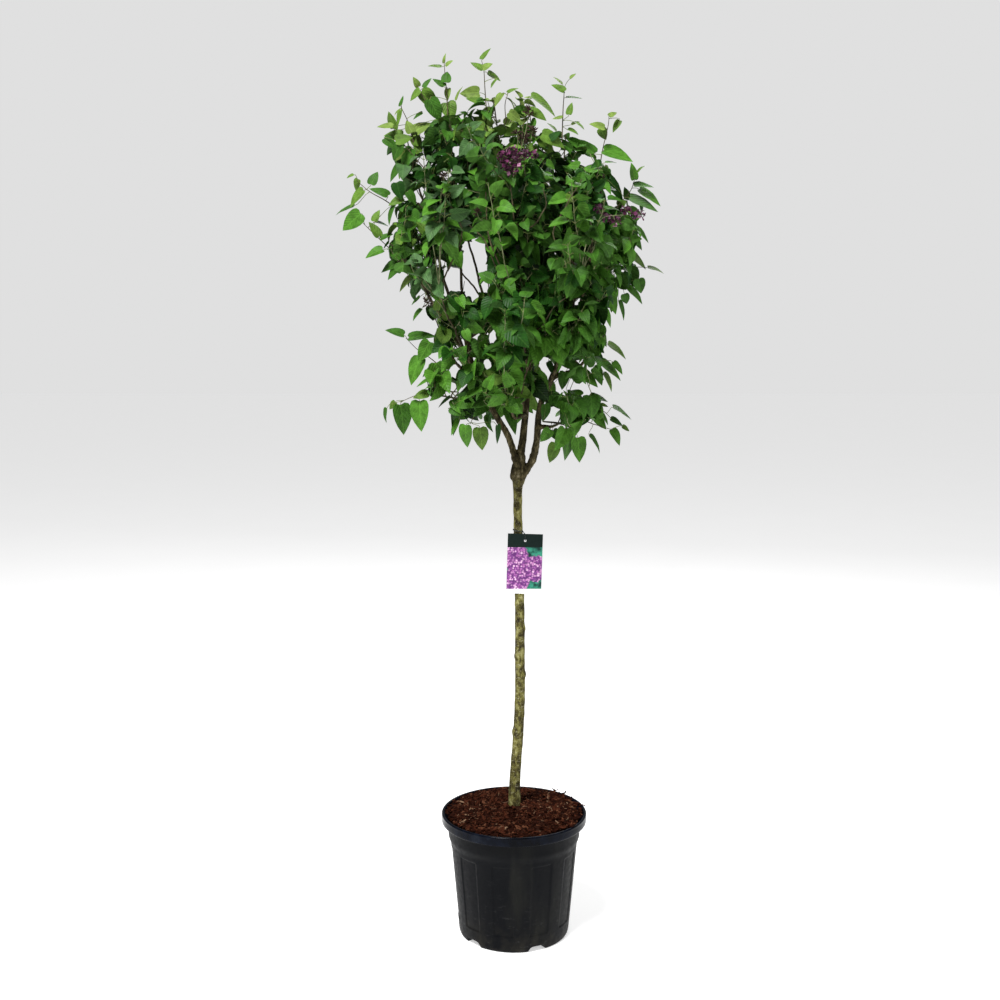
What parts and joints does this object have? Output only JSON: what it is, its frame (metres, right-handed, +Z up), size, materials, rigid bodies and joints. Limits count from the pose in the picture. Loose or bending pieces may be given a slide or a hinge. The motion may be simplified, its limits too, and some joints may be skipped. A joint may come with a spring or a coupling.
{
  "type": "lilac tree in a nursery pot",
  "caption": "Lilac grafted as a small round-headed tree on a bare stem, in flower, in a black nursery pot with bark mulch and a plant label.",
  "frame": {"origin": "centre of the pot's flat underside", "axes": "+Z up along the stem, +X to the right and -Y towards the viewer when the label faces the viewer"},
  "size_m": [0.669, 0.5979, 1.7749],
  "materials": {
    "pot": "moulded black polypropylene",
    "soil": "shredded bark mulch over compost",
    "bark": "smooth olive-grey bark",
    "foliage": "soft satin leaf",
    "label": "printed card",
    "elastic": "dark elastic cord"
  },
  "bodies": {
    "root": {"pot": "pot", "soil": "soil", "trunk": "bark", "bough_left": "bark", "bough_middle": "bark", "bough_right": "bark", "limb_left_low": "bark", "limb_left_middle": "bark", "limb_left_high": "bark", "limb_left_back": "bark", "limb_left_front": "bark", "limb_left_shoulder": "bark", "limb_left_top": "bark", "limb_front_low": "bark", "limb_front_middle": "bark", "limb_front_high": "bark", "limb_back_low": "bark", "limb_back_middle": "bark", "limb_back_high": "bark", "limb_top": "bark", "limb_right_low": "bark", "limb_right_middle": "bark", "limb_right_high": "bark", "limb_right_front": "bark", "limb_right_back": "bark", "limb_right_shoulder": "bark", "limb_right_top": "bark", "foliage_left_low": "foliage", "foliage_left_middle": "foliage", "foliage_left_high": "foliage", "foliage_left_back": "foliage", "foliage_left_front": "foliage", "foliage_left_shoulder": "foliage", "foliage_left_top": "foliage", "foliage_front_low": "foliage", "foliage_front_middle": "foliage", "foliage_front_high": "foliage", "foliage_back_low": "foliage", "foliage_back_middle": "foliage", "foliage_back_high": "foliage", "foliage_top": "foliage", "foliage_right_low": "foliage", "foliage_right_middle": "foliage", "foliage_right_high": "foliage", "foliage_right_front": "foliage", "foliage_right_back": "foliage", "foliage_right_shoulder": "foliage", "foliage_right_top": "foliage", "label": "label", "label_loop": "elastic"}
  },
  "joints": []
}
